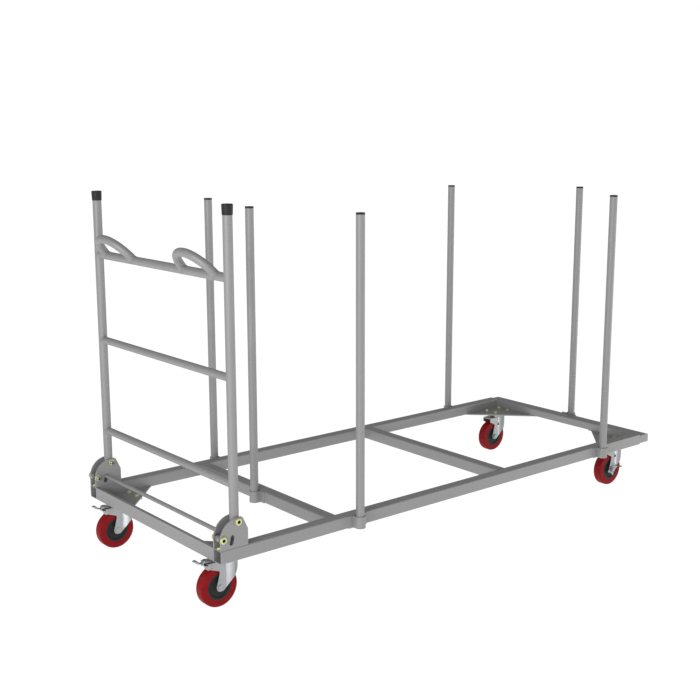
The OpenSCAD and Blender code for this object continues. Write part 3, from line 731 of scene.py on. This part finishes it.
def return_spring():
    """A tree for a coil on each side of the trolley, of opposite hand, about an axis across it."""
    tree, source = geometry_tree(
        "return_spring", Start="Vector", Coil="Float", Wire="Float", Turns="Float", Length="Float",
        Finish="Material",
    )
    inputs = {"Resolution": 12, "Radius": source["Wire"] * 0.5}
    section = tree.node("GeometryNodeCurvePrimitiveCircle", inputs)
    coils = []
    for side in SIDES.values():
        helix = tree.node("GeometryNodeCurveSpiral", {
            "Resolution": 40, "Rotations": source["Turns"], "Start Radius": source["Coil"],
            "End Radius": source["Coil"], "Height": source["Length"], "Reverse": side > 0,
        })
        inputs = {"Curve": helix, "Profile Curve": section, "Fill Caps": True}
        wire = tree.node("GeometryNodeCurveToMesh", inputs)
        inputs = {0: source["Start"], 1: (1, side, 1)}
        place = tree.node("ShaderNodeVectorMath", inputs, operation="MULTIPLY")
        inputs = {"Geometry": wire, "Translation": place, "Rotation": (-side * math.pi / 2, 0, 0)}
        coils.append(tree.node("GeometryNodeTransform", inputs))
    return close_tree(tree, source, tree.node("GeometryNodeJoinGeometry", {"Geometry": coils}))


def grown(name, mesh, make, **values):
    """The plain mesh that a tree makes from another; the tree is made the first time it is asked for."""
    tree = bpy.data.node_groups.get(make.__name__) or make()
    keys = {item.name: item.identifier for item in tree.interface.items_tree if item.in_out == "INPUT"}
    settings = {keys[title]: value for title, value in values.items()}
    return evaluated(name, mesh, "NODES", {"node_group": tree, **settings})


def welded(name, body, seams):
    """Weld beads along open or closed seams: each seam is (points, closed)."""
    sizes = bpy.context.scene.trolley_sizes
    points, edges = [], []
    for line, closed in seams:
        start = len(points)
        points.extend(line)
        edges.extend((start + i, start + i + 1) for i in range(len(line) - 1))
        if closed:
            edges.append((len(points) - 1, start))
    mesh = bpy.data.meshes.new(name)
    mesh.from_pydata(points, edges, [])
    made = grown(
        name, mesh, weld_bead, Pitch=sizes.weld_pitch, Width=sizes.weld_width, Seed=WELD_SEED,
        Finish=finish("paint"),
    )
    return settled(name, made, body, "paint")


def fastened(name, slot, bm, places, replaced=()):
    """Copies of one fastener on the base, each at (place, turn), as one piece."""
    pattern = linked(name + "_pattern", as_mesh(name, bm))
    spots = bpy.data.meshes.new(name)
    spots.from_pydata([place for place, _ in places], [], [])
    turns = spots.attributes.new("turn", "FLOAT_VECTOR", "POINT")
    for item, (_, turn) in zip(turns.data, places):
        item.vector = turn
    made = grown(name, spots, fasteners, Fastener=pattern, Finish=finish(slot))
    bpy.data.objects.remove(pattern)
    made.set_sharp_from_angle(angle=math.radians(38))
    return settled(name, made, "base", slot, replaced)


def upright(x, y, low, high):
    """A straight seam up a corner."""
    return [(x, y, low), (x, y, high)], False


def level_x(first, last, y, z):
    """A level seam along the trolley."""
    return [(first, y, z), (last, y, z)], False


def level_y(x, first, last, z):
    """A level seam across the trolley."""
    return [(x, first, z), (x, last, z)], False


def saddle(centre, bar, out, small, big):
    """The seam where a tube leaves a bar: the tube runs along out from the bar's axis."""
    bar, out = Vector(bar), Vector(out)
    lift = out.cross(bar)
    line = []
    for a in round_angles(36):
        rise = small * math.sin(a)
        reach = math.sqrt(max(big * big - rise * rise, 0))
        line.append(Vector(centre) + bar * small * math.cos(a) + lift * rise + out * reach)
    return line, True


class Step:
    """An operator's run: it builds with the scene's sizes."""

    def execute(self, context):
        self.build(context.scene.trolley_sizes)
        return {"FINISHED"}


class TROLLEY_OT_base_frame(Step, bpy.types.Operator):
    """Painted rails, cross tubes, channel and gussets"""

    bl_idname = "trolley.base_frame"
    bl_label = "Base frame"

    def build(self, sizes):
        edge = sizes.sheet_edge
        tubes = {"left_rail": 0, "right_rail": 0, "deck_front_tube": 1, "deck_middle_tube": 1, "end_tube": 1}
        for node, along in tubes.items():
            bm = eased(hollowed(merged(node), along), edge)
            dressed(node + "_painted", bm, "base", "paint", (node,))
        for node in ("front_channel", "caster_gussets"):
            coated(node, "base", "paint", edge)


class TROLLEY_OT_post_sockets(Step, bpy.types.Operator):
    """The bent straps that hold the posts"""

    bl_idname = "trolley.post_sockets"
    bl_label = "Post sockets"

    def build(self, sizes):
        coated("post_sockets", "base", "paint", sizes.sheet_edge)


class TROLLEY_OT_hinge_brackets(Step, bpy.types.Operator):
    """Plates that hold the handle's hinge and its latch"""

    bl_idname = "trolley.hinge_brackets"
    bl_label = "Hinge brackets"

    def build(self, sizes):
        for side in SIDES:
            coated(side + "_bracket", "base", "paint", sizes.sheet_edge)


class TROLLEY_OT_frame_bolts(Step, bpy.types.Operator):
    """Hinge, latch, stop and caster bolts"""

    bl_idname = "trolley.frame_bolts"
    bl_label = "Frame bolts"

    def build(self, sizes):
        low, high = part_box("left_rail")
        across, half = (low.y + high.y) / 2, (high.y - low.y) / 2
        hinge, latch = joint_place("handle_fold"), joint_place("release_press")
        low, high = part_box("hinge_bolts")
        head, rise = high.x - hinge.x, high.y - across - half
        shaft, ease, mouth = sizes.bolt_shank, 0.3 * MM, sizes.bolt_socket * 0.62
        profile = softened((
            (shaft, -half), (shaft, half), (head, half, ease), (head, half + rise, HEAD_ROUND),
            (mouth, half + rise),
        ))
        bm = socketed(bmesh.new(), profile, sizes.bolt_socket, rise - SOCKET_FLOOR)
        places = [
            ((x, side * across, z), (-side * math.pi / 2, x + side * across, 0))
            for x, _, z in (hinge, latch) for side in SIDES.values()
        ]
        fastened("hinge_bolts_plated", "yellow_zinc", bm, places, ("hinge_bolts",))
        nut, face = head - NUT_STEP, -half - sizes.nut_height
        profile = softened((
            (shaft, -half), (nut, -half), (nut, face, NUT_ROUND), (shaft + NUT_BEVEL, face),
            (shaft, face + NUT_BEVEL),
        ))
        bm = turned(bmesh.new(), profile, Matrix(), closed=True)
        fastened("hinge_nuts_plated", "yellow_zinc", bm, places)
        end, cut = face - sizes.bolt_tail, TAIL_BEVEL
        profile = (0, end), (shaft - cut, end), (shaft, end + cut), (shaft, -half), (0, -half)
        # The face at the tail's end is marked for painted shade
        shaded_end = ("grime", lambda a, b: max(a.co.z, b.co.z) < end + cut / 2)
        bm = turned(bmesh.new(), profile, Matrix(), tag=shaded_end)
        fastened("hinge_bolt_tails_plated", "bright_zinc", bm, places)
        sunk = 2 * MM
        low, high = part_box("stop_bolts")
        bm = flanged(bmesh.new(), HEX_FLATS, high.z - HEX_HEAD, high.z)
        shank(bm, HEX_SHANK, low.z, high.z - sunk)
        places = [((latch.x, y, 0), (0, 0, y)) for y in (across, -across)]
        fastened("stop_bolts_plated", "yellow_zinc", bm, places, ("stop_bolts",))
        low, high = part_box("caster_bolts")
        bm = flanged(bmesh.new(), HEX_FLATS, high.z - HEX_HEAD, high.z)
        tail = low.z + HEX_TAIL
        flanged(bm, HEX_FLATS, tail + HEX_NUT, tail)
        shank(bm, HEX_SHANK, low.z, high.z - sunk)
        spin = 0.7
        places = []
        for caster in CASTERS:
            swivel = joint_place(caster + "_swivel")
            for k, (u, v) in enumerate(((-1, -1), (-1, 1), (1, -1), (1, 1))):
                spot = (swivel.x + u * sizes.plate_pitch[0] / 2, swivel.y + v * sizes.plate_pitch[1] / 2, 0)
                places.append((spot, (0, 0, spin * k + swivel.x)))
        fastened("caster_bolts_plated", "yellow_zinc", bm, places, ("caster_bolts",))


class TROLLEY_OT_handle(Step, bpy.types.Operator):
    """Uprights, crossbars and loop grips of the folding handle"""

    bl_idname = "trolley.handle"
    bl_label = "Handle"

    def build(self, sizes):
        for node in (
            "left_upright", "right_upright", "top_bar", "middle_bar", "lower_bar", "left_grip", "right_grip"
        ):
            dressed(node + "_painted", merged(node), "handle", "paint", (node,), corner=30)
        coated("pivot_bushes", "handle", "bright_zinc", sizes.bolt_edge)


class TROLLEY_OT_handle_caps(Step, bpy.types.Operator):
    """Black caps on the tops of the uprights"""

    bl_idname = "trolley.handle_caps"
    bl_label = "Handle caps"

    def build(self, sizes):
        bm = bmesh.new()
        low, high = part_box("handle_caps")
        radius, height = (high.x - low.x) / 2, high.z - low.z
        bore, roof, ease = radius - CAP_WALL, height - CAP_WALL, 0.4 * MM
        profile = softened((
            (0, roof), (bore, roof), (bore, 0), (radius - CAP_DRAW, 0, ease),
            (radius + CAP_FLARE, height, sizes.cap_round), (0, height),
        ))
        for y in (high.y - radius, low.y + radius):
            turned(bm, profile, Matrix.Translation((low.x + radius, y, low.z)), 64)
        dressed("handle_caps_moulded", bm, "handle", "cap", ("handle_caps",), recalc=True)


class TROLLEY_OT_latch(Step, bpy.types.Operator):
    """Release bar, pawls and return springs"""

    bl_idname = "trolley.latch"
    bl_label = "Latch"

    def build(self, sizes):
        coated("release_bar", "release", "paint", sizes.bolt_edge)
        for side in SIDES:
            coated(side + "_pawl", "release", "bright_zinc", sizes.bolt_edge)
        low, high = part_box("return_springs")
        latch = joint_place("release_press")
        start = Vector((latch.x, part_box("left_pawl")[0].y + sizes.spring_wire / 2, latch.z))
        name = "return_springs_wound"
        made = grown(
            name, bpy.data.meshes.new(name), return_spring, Start=start, Wire=sizes.spring_wire,
            Coil=(high.z - low.z - sizes.spring_wire) / 2, Turns=sizes.spring_turns,
            Length=high.y - sizes.spring_wire / 2 - start.y, Finish=finish("spring_steel"),
        )
        settled(name, made, "release", "spring_steel", ("return_springs",))


class TROLLEY_OT_posts(Step, bpy.types.Operator):
    """Six lift-out posts and their caps"""

    bl_idname = "trolley.posts"
    bl_label = "Posts"

    def build(self, sizes):
        for name in POSTS:
            body = name + "_post"
            coated(body, body, "paint", sizes.bolt_edge)
            cap = body + "_cap"
            low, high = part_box(cap)
            radius, height = (high.x - low.x) / 2, high.z - low.z
            plug, seat, play = radius - CAP_WALL, height - LID_HEIGHT, radius + 0.05 * MM
            rim, top, foot = radius + LID_LIP, height + LID_RISE, seat - LID_SKIRT
            profile = softened((
                (0, 0), (plug, 0, 0.8 * MM), (plug, seat), (play, seat), (play, foot), (rim, foot, 0.15 * MM),
                (rim, top, LID_ROUND), (0, top),
            ))
            place = Matrix.Translation(((low.x + high.x) / 2, (low.y + high.y) / 2, low.z))
            bm = turned(bmesh.new(), profile, place, 64)
            dressed(cap + "_moulded", bm, body, "cap", (cap,), recalc=True)


class TROLLEY_OT_caster_plates(Step, bpy.types.Operator):
    """Mounting plates with their swivel drums and king pins"""

    bl_idname = "trolley.caster_plates"
    bl_label = "Caster plates"

    def build(self, sizes):
        coated("caster_plates", "base", "bright_zinc", sizes.pressed_edge)


class TROLLEY_OT_forks(Step, bpy.types.Operator):
    """Pressed caster forks with their axles"""

    bl_idname = "trolley.forks"
    bl_label = "Forks"

    def build(self, sizes):
        strips = 6
        for caster in CASTERS:
            body = caster + "_fork"
            low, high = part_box(body)
            start = joint_place(caster + "_wheel_spin").x + sizes.fork_flat
            back = high.x - (high.y - low.y) / 2
            cuts = [start + (back - start) * k / strips for k in range(strips + 1)]
            bm = eased(scored(merged(body), cuts), sizes.pressed_edge)
            piece = dressed(body + "_plated", bm, body, "bright_zinc", (body,))
            rolled(piece, start, back, sizes)
            coated(caster + "_axle", body, "bright_zinc", sizes.bolt_edge)


class TROLLEY_OT_wheels(Step, bpy.types.Operator):
    """Red tyres on charcoal cores"""

    bl_idname = "trolley.wheels"
    bl_label = "Wheels"

    def build(self, sizes):
        bore, axle, web, line = TYRE_BORE, AXLE_BORE, CORE_WEB, TREAD_LINE
        for caster in CASTERS:
            body = caster + "_wheel"
            low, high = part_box(caster + "_tyre")
            centre = (low + high) / 2
            place = Matrix.Translation(centre) @ Matrix.Rotation(math.pi / 2, 4, "X")
            radius, half = (high.z - low.z) / 2, (high.y - low.y) / 2
            floor, scuffed = radius - sizes.tread_groove, radius - 1.5 * MM
            profile = both_faces(softened((
                (bore, 0), (bore, half, 0.5 * MM),
                *ring_step(bore + 3 * MM, bore + 5.6 * MM, half, 0.5 * MM, 0.6 * MM, 0.3 * MM),
                (radius, half, TREAD_ROUND), (radius, line + 0.6 * MM, 0.2 * MM),
                (floor, line + 0.2 * MM, 0.1 * MM), (floor, line - 0.2 * MM, 0.1 * MM),
                (radius, line - 0.6 * MM, 0.2 * MM), (radius, 0),
            ), 5))
            tread = ("tread", lambda a, b: min((v.co - centre).xz.length for v in (a, b)) > scuffed)
            bm = turned(bmesh.new(), profile, place, sizes.wheel_steps, closed=True, tag=tread)
            dressed(caster + "_tyre_cast", bm, body, "tyre", (caster + "_tyre",), recalc=True)
            low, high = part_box(caster + "_core")
            hub, lip = (high.y - low.y) / 2, half - 0.2 * MM
            profile = both_faces(softened((
                (axle, 0), (axle, hub, 0.4 * MM),
                *ring_step(8.5 * MM, 10.3 * MM, hub, 0.6 * MM, 0.3 * MM, 0.2 * MM),
                (14 * MM, hub, 1 * MM), (14.6 * MM, web, 1.2 * MM),
                *ring_step(21 * MM, 24.6 * MM, web, -0.7 * MM, 0.6 * MM, 0.3 * MM),
                (31 * MM, web, 1.5 * MM), (34 * MM, lip, 0.8 * MM), (bore, lip), (bore, 0),
            )))
            bm = turned(bmesh.new(), profile, place, 96, closed=True)
            dressed(caster + "_core_moulded", bm, body, "core", (caster + "_core",), recalc=True)


class TROLLEY_OT_brakes(Step, bpy.types.Operator):
    """Foot pedals over the front wheels and side levers on the rear ones"""

    bl_idname = "trolley.brakes"
    bl_label = "Brakes"

    def build(self, sizes):
        for caster in CASTERS:
            node = caster + "_brake"
            coated(node, node, "bright_zinc", sizes.pressed_edge)


class TROLLEY_OT_welds(Step, bpy.types.Operator):
    """Weld beads on the base frame and the handle"""

    bl_idname = "trolley.welds"
    bl_label = "Welds"

    def build(self, sizes):
        welded("base_welds", "base", self.base_seams(sizes))
        welded("handle_welds", "handle", self.handle_seams(sizes))

    @staticmethod
    def base_seams(sizes):
        gap, slack, socket_reach = WELD_GAP, 1 * MM, 60 * MM
        low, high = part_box("left_rail")
        inside, outside, under, top, far = low.y, high.y, low.z, high.z, high.x
        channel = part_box("front_channel")[1].x
        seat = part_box("caster_gussets")[1].z
        gusset = [v.co for v in frame["nodes"]["caster_gussets"].data.vertices]
        narrow = min(p.y for p in gusset if p.y > 0)
        wide = [p.x for p in gusset if p.y > inside - slack]
        first, last = max(x for x in wide if x < 0), min(x for x in wide if x > 0)
        tube_low, tube_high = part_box("end_tube")
        seams = []
        for sign in SIDES.values():
            for tube in ("deck_front_tube", "deck_middle_tube"):
                low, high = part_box(tube)
                for x in (low.x, high.x):
                    seams.append(upright(x, sign * inside, under + gap, top - gap))
                seams.append(level_x(low.x + gap, high.x - gap, sign * inside, under))
            low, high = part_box("left_bracket")
            for y in (inside + BRACKET_PLATE, outside - BRACKET_PLATE):
                seams.append(level_x(low.x + gap, high.x - gap, sign * y, top))
            seams.append(level_x(channel + gap, first - gap, sign * inside, seat))
            seams.append(level_x(last + gap, far - gap, sign * inside, seat))
            for x in (channel, far):
                seams.append(level_y(x, sign * (narrow + gap), sign * (inside - gap), seat))
            seams.append(upright(channel, sign * inside, seat, top - gap))
            for z in (tube_low.z, tube_high.z):
                seams.append(level_y(far, sign * (inside + gap), sign * (outside - gap), z))
            seams.append(upright(far, sign * inside, tube_low.z + gap, tube_high.z - gap))
        socket = [v.co for v in frame["nodes"]["post_sockets"].data.vertices]
        for name in POSTS:
            low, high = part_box(name + "_post")
            post = (low + high) / 2
            near = [p for p in socket if (p.xy - post.xy).length < socket_reach]
            if name.endswith("_end"):
                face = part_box("deck_front_tube")[0].x if name == "handle_end" else tube_high.x
                for y in (min(p.y for p in near), max(p.y for p in near)):
                    seams.append(upright(face, y, tube_low.z + gap, tube_high.z - gap))
            else:
                for x in (min(p.x for p in near), max(p.x for p in near)):
                    seams.append(upright(x, math.copysign(outside, post.y), under + gap, top - gap))
        return seams

    @staticmethod
    def handle_seams(sizes):
        seams = []
        for bar in ("top_bar", "middle_bar", "lower_bar"):
            low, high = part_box(bar)
            centre = (low + high) / 2
            for side, sign in SIDES.items():
                tube_low, tube_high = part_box(side + "_upright")
                tube = (tube_high.x - tube_low.x) / 2
                place = (centre.x, (tube_low.y + tube_high.y) / 2, centre.z)
                seams.append(saddle(place, (0, 0, 1), (0, -sign, 0), (high.x - low.x) / 2, tube))
        low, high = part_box("top_bar")
        centre, bar = (low + high) / 2, (high.x - low.x) / 2
        low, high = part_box("left_grip")
        reach, tube = (high.y - low.y) / 2, sizes.grip_tube / 2
        lean = math.asin((high.z - tube - centre.z) / (reach - tube))
        out = (-math.cos(lean), 0, math.sin(lean))
        for sign in SIDES.values():
            for y in (low.y + tube, high.y - tube):
                seams.append(saddle((centre.x, sign * y, centre.z), (0, 1, 0), out, tube, bar))
        return seams


class TROLLEY_OT_studio(bpy.types.Operator):
    """Pale floor, soft light and the camera"""

    bl_idname = "trolley.studio"
    bl_label = "Studio"

    def execute(self, context):
        studio = context.scene.trolley_studio
        self.lay_floor(studio)
        self.light(context.scene, studio)
        camera = linked("camera", bpy.data.cameras.new("camera"))
        camera.matrix_world = (
            Matrix.Translation(studio.eye) @ Matrix.Rotation(studio.pan, 4, "Z")
            @ Matrix.Rotation(studio.tilt, 4, "X") @ Matrix.Rotation(studio.roll, 4, "Z")
        )
        camera.data.sensor_width = SENSOR
        camera.data.lens = studio.lens
        camera.data.shift_x, camera.data.shift_y = studio.shift
        context.scene.camera = camera
        context.scene.view_settings.view_transform = "Standard"
        return {"FINISHED"}

    @staticmethod
    def lay_floor(studio):
        bm = bmesh.new()
        bmesh.ops.create_grid(bm, x_segments=8, y_segments=8, size=FLOOR_REACH)
        floor = linked("floor", as_mesh("floor", bm, recalc=False))
        f = Finish("floor")
        speck = f.grain(30, detail=3)
        grey = [studio.floor] * 3
        floor.data.materials.append(f.close(
            speck, depth=0.2 * MM, strength=0.1,
            base_color=f.blend(speck, shade(grey, 0.98), shade(grey, 1.02)),
            roughness=0.8,
            specular_ior_level=0.1,
            emission_color=(1, 1, 1, 1),
            emission_strength=studio.glow,
        ))

    @staticmethod
    def light(scene, studio):
        world = bpy.data.worlds.new("studio")
        world.use_nodes = True
        sky = Tree(world.node_tree)
        sky.tree.nodes.clear()
        seen = sky.node("ShaderNodeLightPath", output="Is Camera Ray")
        mirrored = sky.node("ShaderNodeLightPath", output="Is Glossy Ray")
        strength = studio.room + mirrored * (studio.sheen - studio.room) + seen * (studio.backdrop - studio.room)
        shine = sky.node("ShaderNodeBackground", {"Color": (1, 1, 1, 1), "Strength": strength})
        sky.node("ShaderNodeOutputWorld", {"Surface": shine})
        scene.world = world
        for name, (wide, high, place, aim) in LIGHTS.items():
            lamp = bpy.data.lights.new(name, "AREA")
            lamp.energy = getattr(studio, name)
            lamp.shape = "RECTANGLE"
            lamp.size, lamp.size_y = wide, high
            holder = linked(name, lamp)
            holder.location = place
            holder.rotation_euler = (Vector(aim) - Vector(place)).to_track_quat("-Z", "Y").to_euler()
            holder.visible_camera = False


# The studio first, then the steps in the order that they are written in
OPERATORS = (TROLLEY_OT_studio, *Step.__subclasses__())


class TROLLEY_PT_panel(bpy.types.Panel):
    """Every step of the trolley's finishing"""

    bl_idname = "TROLLEY_PT_panel"
    bl_label = "Banquet table trolley"
    bl_space_type = "VIEW_3D"
    bl_region_type = "UI"
    bl_category = "Trolley"

    def draw(self, context):
        for operator in OPERATORS:
            self.layout.operator(operator.bl_idname)
        for name in GROUPS:
            group = getattr(context.scene, name)
            column = self.layout.column()
            for key in group.__annotations__:
                column.prop(group, key)


GROUPS = {"trolley_sizes": TrolleySizes, "trolley_colours": TrolleyColours, "trolley_studio": TrolleyStudio}
CLASSES = (*GROUPS.values(), *OPERATORS, TROLLEY_PT_panel)


def register():
    for item in CLASSES:
        bpy.utils.register_class(item)
    for name, group in GROUPS.items():
        setattr(bpy.types.Scene, name, PointerProperty(type=group))


def unregister():
    for name in GROUPS:
        delattr(bpy.types.Scene, name)
    for item in reversed(CLASSES):
        bpy.utils.unregister_class(item)


def main():
    register()
    for operator in OPERATORS:
        group, name = operator.bl_idname.split(".")
        getattr(getattr(bpy.ops, group), name)()


if __name__ == "__main__":
    main()
